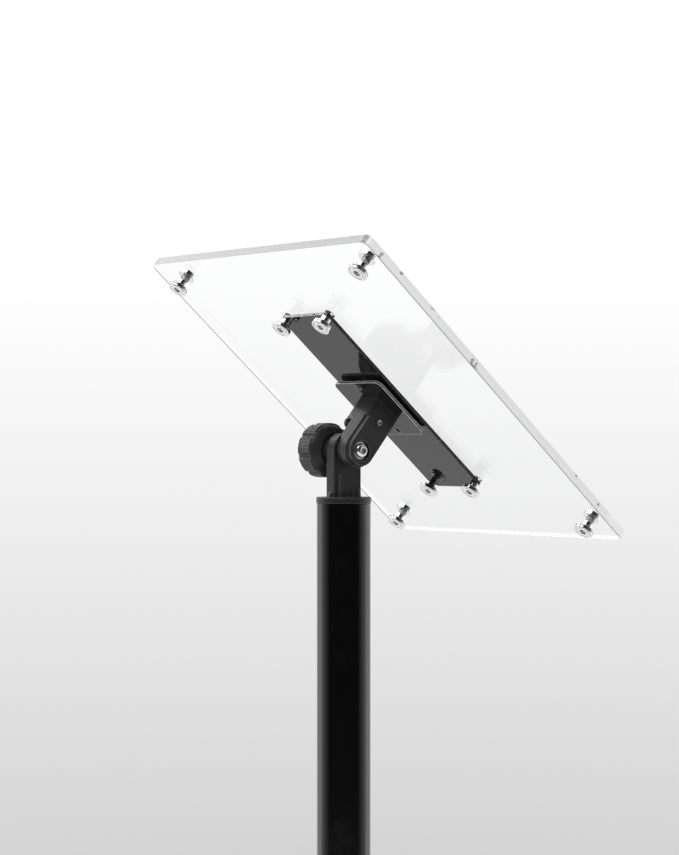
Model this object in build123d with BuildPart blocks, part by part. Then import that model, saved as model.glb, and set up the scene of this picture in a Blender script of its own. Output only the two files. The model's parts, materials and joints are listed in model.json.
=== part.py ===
from build123d import *
import os
from math import cos, radians, sin

# Pedestal sign stand: a clear two-sheet sign on a tilting head, a 38 mm pole in three screwed
# sections and a round weighted base. Millimetres, Z up, origin on the floor under the pole.
# The tilt bolt lies along X with the clamp knob at +X, and the sign is read from the -Y side.

os.makedirs("parts", exist_ok=True)

# Clearances
slip = 0.1
running = 0.06
press = 0.02

# Base
base_radius = 155
base_edge_height = 5
base_hub_radius = 46
base_hub_height = 10
base_edge_round = 1.6
base_crown = 1.2
base_recess_radius = 15.5
base_recess_depth = 6
ring_radius = 151
ring_width = 12
ring_height = 4
ring_groove = 1
ring_chamfer = 0.6
collar_radius = 33
collar_height = 18
collar_lip = 2.4
collar_rim = 2

# Pole
tube_radius = 19
tube_wall = 1.5
section_length = 333
section_chamfer = 0.4
insert_length = 26
insert_chamfer = 1
stud_radius = 6
stud_length = 20
stud_chamfer = 1

# Bolt and washer under the base
base_bolt_head_radius = 10.5
base_bolt_head_height = 5
base_bolt_head_round = 2
base_bolt_socket = 8
base_bolt_socket_depth = 2.5
base_washer_radius = 14
base_washer_height = 2

# Head that turns in the top of the pole
bush_length = 30
bush_wall = 5.5
spigot_chamfer = 1
head_flange_height = 4.2
head_flange_overhang = 0.3
head_flange_round = 0.6
pivot_rise = 32.8
ear_thickness = 9
ear_radius = 12.2
ear_edge_round = 0.8
gusset_width = 2.6
gusset_height = 4
gusset_thickness = 3
rib_width = 1.4
rib_height = 1.3
rib_tall = 16
rib_short = 5.5
rib_tall_place = 7.8
rib_short_place = -7
rib_short_pitch = 4.2
head_screw_radius = 3
head_screw_length = 16
head_screw_head_radius = 5
head_screw_head_height = 4
head_screw_socket = 5
head_washer_radius = 15
head_washer_height = 1.6

# Tilt bolt, its washers and the clamp knob
bolt_radius = 3
bolt_head_radius = 5.25
bolt_head_height = 3.3
bolt_head_round = 1.4
bolt_socket = 4
bolt_socket_depth = 2
tilt_washer_radius = 6.3
tilt_washer_height = 1.2
friction_washer_radius = 9.6
friction_washer_height = 0.8
knob_washer_radius = 7
knob_washer_height = 1
knob_radius = 19.4
knob_lobes = 8
knob_turned = 33
knob_scallop_radius = 2.1
knob_scallop_depth = 1.6
knob_rim_width = 10
knob_rim_round = 2
knob_cone_width = 6
knob_cone_step = 1.2
knob_cone_radius = 13
knob_hub_width = 7.5
knob_hub_radius = 9.5
knob_dish_radius = 12.5
knob_dish_depth = 1.2
knob_insert_radius = 5
knob_insert_length = 17
knob_insert_inset = 1
bolt_tip_gap = 1.2

# Tilt arm
sign_lean = 50
arm_reach = 38
arm_half_width = 12
arm_overhang = 8.1
arm_corner = 3
arm_clearance = 7
arm_shoulder = 23
drum_radius = 10
drum_width = 6.2
drum_neck = 6.4
lug_width = 4.8
lug_step = 1.2
lug_plateau = 4.2
lug_recess_radius = 6.9
lug_recess_depth = 3
nut_boss_radius = 5
nut_boss_height = 6.1
arm_screw_radius = 2
arm_screw_reach = 25.2
arm_screw_sink = 0.2
arm_screw_socket = 2
arm_screw_socket_depth = 1.6
arm_screw_entry = 6
arm_nut_radius = 4.3
arm_nut_skirt = 3.9

# Plate on the arm
plate_width = 50
plate_length = 56
plate_thickness = 2
plate_corner = 5
plate_hole_radius = 2.25
plate_hole_pitch = 46.6
plate_screw_radius = 1.5
plate_screw_head_radius = 2.9
plate_screw_length = 9
plate_screw_pitch = 16
plate_screw_spare = 0.8
plate_cross_width = 0.7
plate_cross_length = 2.7
plate_cross_depth = 0.8

# Swivel between plate and bar
swivel_radius = 2.5
swivel_head_radius = 4.6
swivel_cross_length = 4.3
swivel_washer_radius = 11
swivel_washer_height = 2.9
swivel_nut_flats = 8
swivel_nut_height = 4.8
swivel_nut_washer_radius = 5
swivel_nut_washer_height = 1
swivel_end = 0.9
swivel_pocket_radius = 5.4
swivel_pocket_spare = 0.8

# Bar behind the sign
bar_width = 52
bar_length = 185
bar_thickness = 2.5
bar_corner = 3.5
bar_screw_inset_x = 3.5
bar_screw_inset_y = 3.75

# Sign sheets
sheet_width = 241
sheet_length = 305
rear_sheet_thickness = 3
front_sheet_thickness = 4
sheet_corner = 5
sheet_screw_inset = 19

# Chrome fasteners
screw_radius = 2
screw_head_radius = 4
screw_entry = 4.2
cross_width = 0.9
cross_length = 3.6
cross_depth = 1
disc_radius = 7
disc_face_height = 1.5
disc_groove_height = 0.5
disc_groove_depth = 0.7
disc_flange_height = 1.5
disc_chamfer = 0.4
disc_flange_chamfer = 0.8
disc_socket = 4
disc_socket_depth = 1.2
neck_radius = 3.75
neck_length = 4.7
cap_radius = 6.1
cap_height = 3.4
cap_chamfer = 0.4
barrel_radius = 2.9

# Levels worked out from the sizes above
section_names = ["lower_pole", "middle_pole", "upper_pole"]
base_under = ring_height - ring_groove
base_top = base_under + base_hub_height
recess_top = base_under + base_recess_depth
base_bolt_seat = recess_top - base_washer_height
section_feet = [base_top + number * section_length for number in range(len(section_names))]
pole_head = section_feet[-1] + section_length
head_seat = pole_head + head_flange_height
pivot_z = head_seat + pivot_rise
tube_bore = tube_radius - tube_wall
insert_radius = tube_bore - press
stud_hole = stud_radius + slip
bush_bore = insert_radius - bush_wall
spigot_end = pole_head - bush_length - slip

# Places along the tilt axis, worked out from the ear outwards
ear_face = ear_thickness / 2
drum_face = -(ear_face + friction_washer_height)
lug_inner = drum_face - drum_width
lug_outer = lug_inner - lug_width
plateau_face = lug_outer - lug_plateau
washer_seat = plateau_face + lug_recess_depth
head_bearing = washer_seat - tilt_washer_height
block_face = drum_face + arm_overhang
block_width = block_face - plateau_face
nut_seat = block_face + nut_boss_height
sign_middle = (block_face + plateau_face) / 2
hub_face = ear_face + knob_washer_height
cone_face = hub_face + knob_hub_width
rim_face = cone_face + knob_cone_width
outer_face = rim_face + knob_rim_width
knob_insert_face = hub_face + knob_insert_inset
knob_insert_end = knob_insert_face + knob_insert_length
bolt_tip = knob_insert_end - bolt_tip_gap
block_floor = ear_radius + arm_clearance

# Heights above the tilt axis, measured out of the sign's readable face
plate_rear = arm_reach
plate_front = plate_rear + plate_thickness
bar_rear = plate_front + swivel_washer_height
bar_front = bar_rear + bar_thickness
rear_sheet_front = bar_front + rear_sheet_thickness
sign_front = rear_sheet_front + front_sheet_thickness
swivel_nut_top = plate_rear - swivel_nut_washer_height
swivel_nut_end = swivel_nut_top - swivel_nut_height
swivel_tip = swivel_nut_end - swivel_end
swivel_floor = swivel_tip - swivel_pocket_spare

# Spacing of the fasteners
sheet_pitch_x = sheet_width - 2 * sheet_screw_inset
sheet_pitch_y = sheet_length - 2 * sheet_screw_inset
bar_pitch_x = bar_width - 2 * bar_screw_inset_x
bar_pitch_y = bar_length - 2 * bar_screw_inset_y
disc_height = disc_face_height + disc_groove_height + disc_flange_height

# Directions of the leaning sign: up the sign, and out of its readable face
sign_up = Vector(0, sin(radians(sign_lean)), cos(radians(sign_lean)))
sign_out = Vector(0, -cos(radians(sign_lean)), sin(radians(sign_lean)))
pivot = Vector(0, 0, pivot_z)
tilt_axis = Axis(pivot, (1, 0, 0))


def sign_plane(height):
    """Plane parallel to the sign, at a height above the tilt axis and centred on the arm."""
    return Plane(pivot + sign_out * height + Vector(sign_middle, 0, 0), x_dir=(1, 0, 0), z_dir=sign_out)


def arm_plane(x):
    """Plane across the tilt axis, leaning with the sign: its x runs up the sign, its y out of it."""
    return Plane(pivot + Vector(x, 0, 0), x_dir=sign_up, z_dir=(1, 0, 0))


def upright_plane(x):
    """Upright plane across the tilt axis: its x runs along Y, its y upwards."""
    return Plane(pivot + Vector(x, 0, 0), x_dir=(0, 1, 0), z_dir=(1, 0, 0))


# Planes for pieces turned about the tilt bolt and about the cross screw of the arm
bolt_plane = Plane(pivot, x_dir=(1, 0, 0), z_dir=(0, -1, 0))
cross_origin = pivot + sign_out * arm_screw_reach
cross_plane = Plane(cross_origin, x_dir=(1, 0, 0), z_dir=-sign_up)
cross_axis = Axis(cross_origin, (1, 0, 0))


def finish(builder, name):
    """Label a finished piece and write it under its own name."""
    builder.part.label = name
    export_step(builder.part, f"parts/{name}.step")


# Rubber ring let into the underside of the base
with BuildPart() as base_ring:
    with BuildSketch(Plane.XZ):
        with Locations((ring_radius - ring_width / 2, ring_height / 2)):
            Rectangle(ring_width, ring_height)
        chamfer(vertices().group_by(Axis.Y)[0], ring_chamfer)
    revolve(axis=Axis.Z)
finish(base_ring, "base_ring")

# Weighted base, crowned from its rim up to a flat hub
with BuildPart() as base_plate:
    with BuildSketch(Plane.XZ):
        with BuildLine():
            Polyline((0, base_top), (0, base_under), (base_radius, base_under))
            Line((base_radius, base_under), (base_radius, base_under + base_edge_height))
            SagittaArc((base_radius, base_under + base_edge_height), (base_hub_radius, base_top), -base_crown)
            Line((base_hub_radius, base_top), (0, base_top))
        make_face()
        fillet(vertices().group_by(Axis.X)[-1], base_edge_round)
    revolve(axis=Axis.Z)
    with BuildSketch(Plane.XY.offset(base_under)):
        Circle(ring_radius)
        Circle(ring_radius - ring_width, mode=Mode.SUBTRACT)
    extrude(amount=ring_groove, mode=Mode.SUBTRACT)
    with BuildSketch(Plane.XY.offset(base_under)):
        Circle(base_recess_radius)
    extrude(amount=base_recess_depth, mode=Mode.SUBTRACT)
    with Locations((0, 0, base_top)):
        Hole(stud_hole)
finish(base_plate, "base_plate")

# Washer and socket bolt that hold the pole from below
with BuildPart() as base_washer:
    with BuildSketch(Plane.XY.offset(base_bolt_seat)):
        Circle(base_washer_radius)
        Circle(stud_hole, mode=Mode.SUBTRACT)
    extrude(amount=base_washer_height)
finish(base_washer, "base_washer")

with BuildPart() as base_bolt:
    with BuildSketch(Plane.XY.offset(base_bolt_seat)):
        Circle(base_bolt_head_radius)
    extrude(amount=-base_bolt_head_height)
    fillet(base_bolt.edges().group_by(Axis.Z)[0], base_bolt_head_round)
    with BuildSketch(Plane.XY.offset(base_bolt_seat - base_bolt_head_height)):
        RegularPolygon(base_bolt_socket / 2, 6, major_radius=False)
    extrude(amount=base_bolt_socket_depth, mode=Mode.SUBTRACT)
    with BuildSketch(Plane.XY.offset(base_bolt_seat)):
        Circle(stud_radius)
    extrude(amount=base_top + stud_length - base_bolt_seat)
    chamfer(base_bolt.edges().group_by(Axis.Z)[-1], stud_chamfer)
finish(base_bolt, "base_bolt")

# Flared trim collar round the foot of the pole
with BuildPart() as base_collar:
    with BuildSketch(Plane.XZ):
        with BuildLine():
            inner = tube_radius + slip
            lip = inner + collar_lip
            Line((inner, base_top), (collar_radius, base_top))
            Line((collar_radius, base_top), (collar_radius, base_top + collar_rim))
            RadiusArc((collar_radius, base_top + collar_rim), (lip, base_top + collar_height), collar_radius)
            Line((lip, base_top + collar_height), (inner, base_top + collar_height))
            Line((inner, base_top + collar_height), (inner, base_top))
        make_face()
    revolve(axis=Axis.Z)
finish(base_collar, "base_collar")


def pole_section(foot):
    """One tube of the pole, standing at the height of its foot, with its ends eased."""
    with BuildPart() as tube:
        with BuildSketch(Plane.XY.offset(foot)):
            Circle(tube_radius)
            Circle(tube_bore, mode=Mode.SUBTRACT)
        extrude(amount=section_length)
        rims = tube.edges().group_by(Axis.Z)
        chamfer([rims[0].sort_by(SortBy.RADIUS)[-1], rims[-1].sort_by(SortBy.RADIUS)[-1]], section_chamfer)
    return tube


for section_name, section_foot in zip(section_names, section_feet):
    finish(pole_section(section_foot), section_name)

# Threaded inserts pressed into the foot of every section
with BuildPart() as foot_insert:
    Cylinder(insert_radius, insert_length, align=(Align.CENTER, Align.CENTER, Align.MIN))
    chamfer(foot_insert.edges().group_by(Axis.Z)[-1], insert_chamfer)
    with Locations((0, 0, insert_length)):
        Hole(stud_hole)

with BuildPart() as pole_nut_inserts:
    with Locations([(0, 0, height) for height in section_feet]):
        add(foot_insert.part)
finish(pole_nut_inserts, "pole_nut_inserts")

# Inserts with a stud, pressed into the tops of the two lower sections
with BuildPart() as head_insert:
    Cylinder(insert_radius, insert_length, align=(Align.CENTER, Align.CENTER, Align.MAX))
    chamfer(head_insert.edges().group_by(Axis.Z)[0], insert_chamfer)
    Cylinder(stud_radius, stud_length, align=(Align.CENTER, Align.CENTER, Align.MIN))
    chamfer(head_insert.edges().group_by(Axis.Z)[-1], stud_chamfer)

with BuildPart() as pole_stud_inserts:
    with Locations([(0, 0, height) for height in section_feet[1:]]):
        add(head_insert.part)
finish(pole_stud_inserts, "pole_stud_inserts")

# Bush in the top of the pole, in which the head turns
with BuildPart() as pole_bush:
    with BuildSketch(Plane.XY.offset(pole_head)):
        Circle(insert_radius)
        Circle(bush_bore, mode=Mode.SUBTRACT)
    extrude(amount=-bush_length)
finish(pole_bush, "pole_bush")

# Moulded head: spigot, flange that caps the tube, and one upright ear for the tilt bolt
with BuildPart() as head_body:
    with BuildSketch(Plane.XY.offset(pole_head)):
        Circle(tube_radius + head_flange_overhang)
    extrude(amount=head_flange_height)
    fillet(head_body.edges().group_by(Axis.Z)[-1], head_flange_round)
    with BuildSketch(upright_plane(-ear_face)):
        Circle(ear_radius)
        with Locations((0, -pivot_rise)):
            Rectangle(2 * ear_radius, pivot_rise, align=(Align.CENTER, Align.MIN))
    extrude(amount=ear_thickness)
    ear_rims = head_body.edges().filter_by(GeomType.CIRCLE).filter_by(lambda edge: edge.center().Z > pivot_z)
    fillet(ear_rims, ear_edge_round)
    with BuildSketch(upright_plane(-gusset_thickness / 2)):
        for side in (1, -1):
            foot = (side * ear_radius, -pivot_rise)
            tip = (side * (ear_radius + gusset_width), -pivot_rise)
            top = (side * ear_radius, gusset_height - pivot_rise)
            with BuildLine():
                Polyline(foot, tip, top, close=True)
            make_face()
    extrude(amount=gusset_thickness)
    with BuildSketch(upright_plane(-ear_face - rib_height)):
        with Locations((rib_tall_place, -pivot_rise)):
            Rectangle(rib_width, rib_tall, align=(Align.CENTER, Align.MIN))
        with Locations((rib_short_place, -pivot_rise)):
            with GridLocations(rib_short_pitch, 0, 2, 1):
                Rectangle(rib_width, rib_short, align=(Align.CENTER, Align.MIN))
    extrude(amount=rib_height)
    with BuildSketch(Plane.XY.offset(pole_head)):
        Circle(bush_bore - running)
    extrude(amount=spigot_end - pole_head)
    chamfer(head_body.edges().group_by(Axis.Z)[0], spigot_chamfer)
    with BuildSketch(Plane.XY.offset(spigot_end)):
        Circle(head_screw_radius + slip)
    extrude(amount=head_screw_length, mode=Mode.SUBTRACT)
    with BuildSketch(upright_plane(-ear_face)):
        Circle(bolt_radius + slip)
    extrude(amount=ear_thickness, mode=Mode.SUBTRACT)
finish(head_body, "head_body")

# Washer and screw that keep the spigot in its bush
with BuildPart() as head_washer:
    with BuildSketch(Plane.XY.offset(spigot_end)):
        Circle(head_washer_radius)
        Circle(head_screw_radius + slip, mode=Mode.SUBTRACT)
    extrude(amount=-head_washer_height)
finish(head_washer, "head_washer")

with BuildPart() as head_screw:
    with BuildSketch(Plane.XY.offset(spigot_end - head_washer_height)):
        Circle(head_screw_head_radius)
    extrude(amount=-head_screw_head_height)
    with BuildSketch(Plane.XY.offset(spigot_end - head_washer_height - head_screw_head_height)):
        RegularPolygon(head_screw_socket / 2, 6, major_radius=False)
    extrude(amount=head_screw_head_height / 2, mode=Mode.SUBTRACT)
    with BuildSketch(Plane.XY.offset(spigot_end - head_washer_height)):
        Circle(head_screw_radius)
    extrude(amount=head_screw_length)
finish(head_screw, "head_screw")


def bolt_ring(x, radius, height):
    """Flat washer on the tilt bolt, from x towards +X."""
    with BuildPart() as ring:
        with BuildSketch(upright_plane(x)):
            Circle(radius)
            Circle(bolt_radius + slip, mode=Mode.SUBTRACT)
        extrude(amount=height)
    return ring


finish(bolt_ring(drum_face, friction_washer_radius, friction_washer_height), "friction_washer")
finish(bolt_ring(ear_face, knob_washer_radius, knob_washer_height), "knob_washer")
finish(bolt_ring(head_bearing, tilt_washer_radius, tilt_washer_height), "tilt_washer")

# Tilt bolt with a button head and hexagon socket
with BuildPart() as tilt_bolt:
    with BuildSketch(bolt_plane):
        with BuildLine():
            head_end = head_bearing - bolt_head_height
            flat = bolt_head_radius - bolt_head_round
            Polyline((bolt_tip, 0), (head_end, 0), (head_end, flat))
            RadiusArc((head_end, flat), (head_bearing, bolt_head_radius), bolt_head_height + bolt_head_round)
            Polyline((head_bearing, bolt_head_radius), (head_bearing, bolt_radius), (bolt_tip, bolt_radius))
            Line((bolt_tip, bolt_radius), (bolt_tip, 0))
        make_face()
    revolve(axis=tilt_axis)
    with BuildSketch(upright_plane(head_end)):
        RegularPolygon(bolt_socket / 2, 6, major_radius=False)
    extrude(amount=bolt_socket_depth, mode=Mode.SUBTRACT)
finish(tilt_bolt, "tilt_bolt")

# Clamp knob: scalloped rim, cone and hub, with a dished outer face
with BuildPart() as clamp_knob:
    with BuildSketch(bolt_plane):
        with BuildLine():
            waist = knob_radius - knob_cone_step
            Polyline((hub_face, 0), (hub_face, knob_hub_radius), (cone_face, knob_hub_radius))
            Line((cone_face, knob_hub_radius), (cone_face, knob_cone_radius))
            RadiusArc((cone_face, knob_cone_radius), (rim_face, waist), -knob_radius)
            Polyline((rim_face, waist), (rim_face, knob_radius), (outer_face, knob_radius))
            Polyline((outer_face, knob_radius), (outer_face, 0), (hub_face, 0))
        make_face()
        fillet(vertices().group_by(Axis.X)[-1].sort_by(Axis.Y)[-1], knob_rim_round)
    revolve(axis=tilt_axis)
    with BuildSketch(upright_plane(rim_face)):
        groove_centre = knob_radius + knob_scallop_radius - knob_scallop_depth
        with PolarLocations(groove_centre, knob_lobes, start_angle=knob_turned):
            Circle(knob_scallop_radius)
    extrude(amount=knob_rim_width, mode=Mode.SUBTRACT)
    with BuildSketch(upright_plane(outer_face)):
        Circle(knob_dish_radius)
    extrude(amount=-knob_dish_depth, mode=Mode.SUBTRACT)
    with BuildSketch(upright_plane(knob_insert_face)):
        Circle(knob_insert_radius)
    extrude(amount=knob_insert_length, mode=Mode.SUBTRACT)
    with BuildSketch(upright_plane(hub_face)):
        Circle(bolt_radius + running)
    extrude(amount=knob_insert_inset, mode=Mode.SUBTRACT)
finish(clamp_knob, "clamp_knob")

# Threaded metal insert moulded into the knob
with BuildPart() as knob_insert:
    with BuildSketch(upright_plane(knob_insert_face)):
        Circle(knob_insert_radius - press)
        Circle(bolt_radius + running, mode=Mode.SUBTRACT)
    extrude(amount=knob_insert_length)
finish(knob_insert, "knob_insert")

# Tilt arm: a block over the ear that carries the plate, and a stepped lug beside the ear
with BuildPart() as tilt_arm:
    with BuildSketch(sign_plane(block_floor)):
        with Locations(((lug_outer + block_face) / 2 - sign_middle, 0)):
            Rectangle(block_face - lug_outer, 2 * arm_half_width)
        fillet(vertices().group_by(Axis.X)[-1], arm_corner)
    extrude(amount=arm_shoulder - block_floor)
    with BuildSketch(sign_plane(arm_shoulder)):
        RectangleRounded(block_width, 2 * arm_half_width, arm_corner)
    extrude(amount=arm_reach - arm_shoulder)
    with BuildSketch(arm_plane(lug_outer)):
        Circle(arm_half_width)
        Rectangle(2 * arm_half_width, arm_shoulder, align=(Align.CENTER, Align.MIN))
    extrude(amount=lug_width)
    with BuildSketch(arm_plane(lug_inner)):
        Circle(drum_radius)
        with Locations((0, drum_neck)):
            Rectangle(2 * arm_half_width, arm_shoulder - drum_neck, align=(Align.CENTER, Align.MIN))
        make_hull()
    extrude(amount=drum_width)
    with BuildSketch(arm_plane(plateau_face)):
        Circle(arm_half_width - lug_step)
        Rectangle(2 * (arm_half_width - lug_step), arm_shoulder, align=(Align.CENTER, Align.MIN))
    extrude(amount=lug_plateau)
    with BuildSketch(arm_plane(plateau_face)):
        Circle(lug_recess_radius)
    extrude(amount=lug_recess_depth, mode=Mode.SUBTRACT)
    with BuildSketch(arm_plane(plateau_face)):
        Circle(bolt_radius + running)
    extrude(amount=drum_face - plateau_face, mode=Mode.SUBTRACT)
    with BuildSketch(arm_plane(block_face)):
        with Locations((0, arm_screw_reach)):
            Circle(nut_boss_radius)
    extrude(amount=nut_boss_height)
    with BuildSketch(arm_plane(plateau_face)):
        with Locations((0, arm_screw_reach)):
            Circle(arm_screw_radius + slip)
    extrude(amount=nut_seat - plateau_face, mode=Mode.SUBTRACT)
    with BuildSketch(sign_plane(arm_reach)):
        Circle(swivel_pocket_radius)
    extrude(amount=swivel_floor - arm_reach, mode=Mode.SUBTRACT)
    with BuildSketch(sign_plane(plate_front)):
        with GridLocations(0, plate_screw_pitch, 1, 2):
            Circle(plate_screw_radius + slip)
    extrude(amount=-plate_screw_length - plate_screw_spare, mode=Mode.SUBTRACT)
finish(tilt_arm, "tilt_arm")

# Cross screw through the block, with its socket on the lug side and a dome nut on the boss
with BuildPart() as arm_screw:
    with BuildSketch(cross_plane):
        shank = nut_seat - plateau_face - arm_screw_sink + arm_screw_entry
        with Locations((plateau_face + arm_screw_sink, 0)):
            Rectangle(shank, arm_screw_radius, align=(Align.MIN, Align.MIN))
    revolve(axis=cross_axis)
    with BuildSketch(arm_plane(plateau_face + arm_screw_sink)):
        with Locations((0, arm_screw_reach)):
            RegularPolygon(arm_screw_socket / 2, 6, major_radius=False)
    extrude(amount=arm_screw_socket_depth, mode=Mode.SUBTRACT)
finish(arm_screw, "arm_screw")

with BuildPart() as arm_nut:
    with BuildSketch(cross_plane):
        with BuildLine():
            skirt = nut_seat + arm_nut_skirt
            crest = skirt + arm_nut_radius
            Polyline((crest, 0), (nut_seat, 0), (nut_seat, arm_nut_radius), (skirt, arm_nut_radius))
            TangentArc((skirt, arm_nut_radius), (crest, 0), tangent=(1, 0))
        make_face()
    revolve(axis=cross_axis)
    with BuildSketch(arm_plane(nut_seat)):
        with Locations((0, arm_screw_reach)):
            Circle(arm_screw_radius + slip)
    extrude(amount=arm_screw_entry + slip, mode=Mode.SUBTRACT)
finish(arm_nut, "arm_nut")

# Plate on the arm, with its own two empty screw holes
with BuildPart() as mounting_plate:
    with BuildSketch(sign_plane(plate_rear)):
        RectangleRounded(plate_width, plate_length, plate_corner)
        Circle(swivel_radius + running, mode=Mode.SUBTRACT)
        with GridLocations(0, plate_hole_pitch, 1, 2):
            Circle(plate_hole_radius, mode=Mode.SUBTRACT)
    extrude(amount=plate_thickness)
    with Locations(sign_plane(plate_front)):
        with GridLocations(0, plate_screw_pitch, 1, 2):
            CounterSinkHole(plate_screw_radius + slip, plate_screw_head_radius + slip, counter_sink_angle=90)
finish(mounting_plate, "mounting_plate")


def flush_screw(radius, head_radius, length, recess_width, recess_length, recess_depth):
    """Countersunk screw with a cross recess: its flat head lies at the origin, its shank below."""
    with BuildPart() as screw:
        with BuildSketch(Plane.XZ):
            with BuildLine():
                cone = radius - head_radius
                Polyline((0, 0), (head_radius, 0), (radius, cone), (radius, -length), (0, -length), (0, 0))
            make_face()
        revolve(axis=Axis.Z)
        with BuildSketch(Plane.XY):
            Rectangle(recess_length, recess_width)
            Rectangle(recess_width, recess_length)
        extrude(amount=-recess_depth, mode=Mode.SUBTRACT)
    return screw


# Two small screws that hold the plate on the block
small_screw = flush_screw(plate_screw_radius, plate_screw_head_radius, plate_screw_length,
                          plate_cross_width, plate_cross_length, plate_cross_depth)
with BuildPart() as plate_screws:
    with Locations(sign_plane(plate_front)):
        with GridLocations(0, plate_screw_pitch, 1, 2):
            add(small_screw.part)
finish(plate_screws, "plate_screws")

# Swivel: one central screw through the bar, a thick washer, the plate, and a nut in the block
swivel_shape = flush_screw(swivel_radius, swivel_head_radius, bar_front - swivel_tip,
                           cross_width, swivel_cross_length, cross_depth)
with BuildPart() as swivel_screw:
    with Locations(sign_plane(bar_front)):
        add(swivel_shape.part)
finish(swivel_screw, "swivel_screw")

with BuildPart() as swivel_washer:
    with BuildSketch(sign_plane(plate_front)):
        Circle(swivel_washer_radius)
        Circle(swivel_radius + slip, mode=Mode.SUBTRACT)
    extrude(amount=swivel_washer_height)
finish(swivel_washer, "swivel_washer")

with BuildPart() as swivel_nut_washer:
    with BuildSketch(sign_plane(swivel_nut_top)):
        Circle(swivel_nut_washer_radius)
        Circle(swivel_radius + slip, mode=Mode.SUBTRACT)
    extrude(amount=swivel_nut_washer_height)
finish(swivel_nut_washer, "swivel_nut_washer")

with BuildPart() as swivel_nut:
    with BuildSketch(sign_plane(swivel_nut_end)):
        RegularPolygon(swivel_nut_flats / 2, 6, major_radius=False)
        Circle(swivel_radius + slip, mode=Mode.SUBTRACT)
    extrude(amount=swivel_nut_height)
finish(swivel_nut, "swivel_nut")

# Flat bar behind the sign
with BuildPart() as back_bar:
    with BuildSketch(sign_plane(bar_rear)):
        RectangleRounded(bar_width, bar_length, bar_corner)
        with GridLocations(bar_pitch_x, bar_pitch_y, 2, 2):
            Circle(screw_radius + slip, mode=Mode.SUBTRACT)
    extrude(amount=bar_thickness)
    with Locations(sign_plane(bar_front)):
        CounterSinkHole(swivel_radius + slip, swivel_head_radius + slip, counter_sink_angle=90)
finish(back_bar, "back_bar")

# Rear sheet, countersunk in front for the four screws of the bar
with BuildPart() as rear_sheet:
    with BuildSketch(sign_plane(bar_front)):
        RectangleRounded(sheet_width, sheet_length, sheet_corner)
        with GridLocations(sheet_pitch_x, sheet_pitch_y, 2, 2):
            Circle(barrel_radius + slip, mode=Mode.SUBTRACT)
    extrude(amount=rear_sheet_thickness)
    with Locations(sign_plane(rear_sheet_front)):
        with GridLocations(bar_pitch_x, bar_pitch_y, 2, 2):
            CounterSinkHole(screw_radius + slip, screw_head_radius + slip, counter_sink_angle=90)
finish(rear_sheet, "rear_sheet")

# Front sheet
with BuildPart() as front_sheet:
    with BuildSketch(sign_plane(rear_sheet_front)):
        RectangleRounded(sheet_width, sheet_length, sheet_corner)
        with GridLocations(sheet_pitch_x, sheet_pitch_y, 2, 2):
            Circle(barrel_radius + slip, mode=Mode.SUBTRACT)
    extrude(amount=front_sheet_thickness)
finish(front_sheet, "front_sheet")

# Turned outline of the rear knobs: two-step disc, then a neck that ends at the origin
with BuildPart() as knob_blank:
    with BuildSketch(Plane.XZ):
        with BuildLine():
            back = -(neck_length + disc_height)
            ledge = back + disc_face_height
            flange = ledge + disc_groove_height
            groove = disc_radius - disc_groove_depth
            shoulder = disc_radius - disc_flange_chamfer
            Polyline((0, 0), (0, back), (disc_radius - disc_chamfer, back))
            Polyline((disc_radius - disc_chamfer, back), (disc_radius, back + disc_chamfer))
            Polyline((disc_radius, back + disc_chamfer), (disc_radius, ledge), (groove, ledge))
            Polyline((groove, ledge), (groove, flange), (disc_radius, flange))
            Polyline((disc_radius, flange), (disc_radius, -neck_length - disc_flange_chamfer))
            Polyline((disc_radius, -neck_length - disc_flange_chamfer), (shoulder, -neck_length))
            Polyline((shoulder, -neck_length), (neck_radius, -neck_length), (neck_radius, 0), (0, 0))
        make_face()
    revolve(axis=Axis.Z)
    with BuildSketch(Plane.XY.offset(back)):
        RegularPolygon(disc_socket / 2, 6, major_radius=False)
    extrude(amount=disc_socket_depth, mode=Mode.SUBTRACT)

# Corner fasteners: rear knobs with a shank that screws into the barrel of the front cap
with BuildPart() as corner_knob:
    add(knob_blank.part)
    Cylinder(screw_radius, sign_front - bar_front, align=(Align.CENTER, Align.CENTER, Align.MIN))

with BuildPart() as corner_knobs:
    with Locations(sign_plane(bar_front)):
        with GridLocations(sheet_pitch_x, sheet_pitch_y, 2, 2):
            add(corner_knob.part)
finish(corner_knobs, "corner_knobs")

with BuildPart() as corner_cap:
    Cylinder(cap_radius, cap_height, align=(Align.CENTER, Align.CENTER, Align.MIN))
    chamfer(corner_cap.edges().group_by(Axis.Z)[-1], cap_chamfer)
    Cylinder(barrel_radius, sign_front - bar_front - slip, align=(Align.CENTER, Align.CENTER, Align.MAX))
    with BuildSketch(Plane.XY.offset(bar_front - sign_front)):
        Circle(screw_radius + slip)
    extrude(amount=sign_front - bar_front + slip, mode=Mode.SUBTRACT)

with BuildPart() as corner_caps:
    with Locations(sign_plane(sign_front)):
        with GridLocations(sheet_pitch_x, sheet_pitch_y, 2, 2):
            add(corner_cap.part)
finish(corner_caps, "corner_caps")

# Bar fasteners: flush screws through sheet and bar into tapped rear knobs
with BuildPart() as bar_knob:
    add(knob_blank.part)
    with BuildSketch(Plane.XY):
        Circle(screw_radius + slip)
    extrude(amount=-screw_entry - slip, mode=Mode.SUBTRACT)

with BuildPart() as bar_knobs:
    with Locations(sign_plane(bar_rear)):
        with GridLocations(bar_pitch_x, bar_pitch_y, 2, 2):
            add(bar_knob.part)
finish(bar_knobs, "bar_knobs")

bar_screw = flush_screw(screw_radius, screw_head_radius, rear_sheet_front - bar_rear + screw_entry,
                        cross_width, cross_length, cross_depth)
with BuildPart() as bar_screws:
    with Locations(sign_plane(rear_sheet_front)):
        with GridLocations(bar_pitch_x, bar_pitch_y, 2, 2):
            add(bar_screw.part)
finish(bar_screws, "bar_screws")
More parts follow.
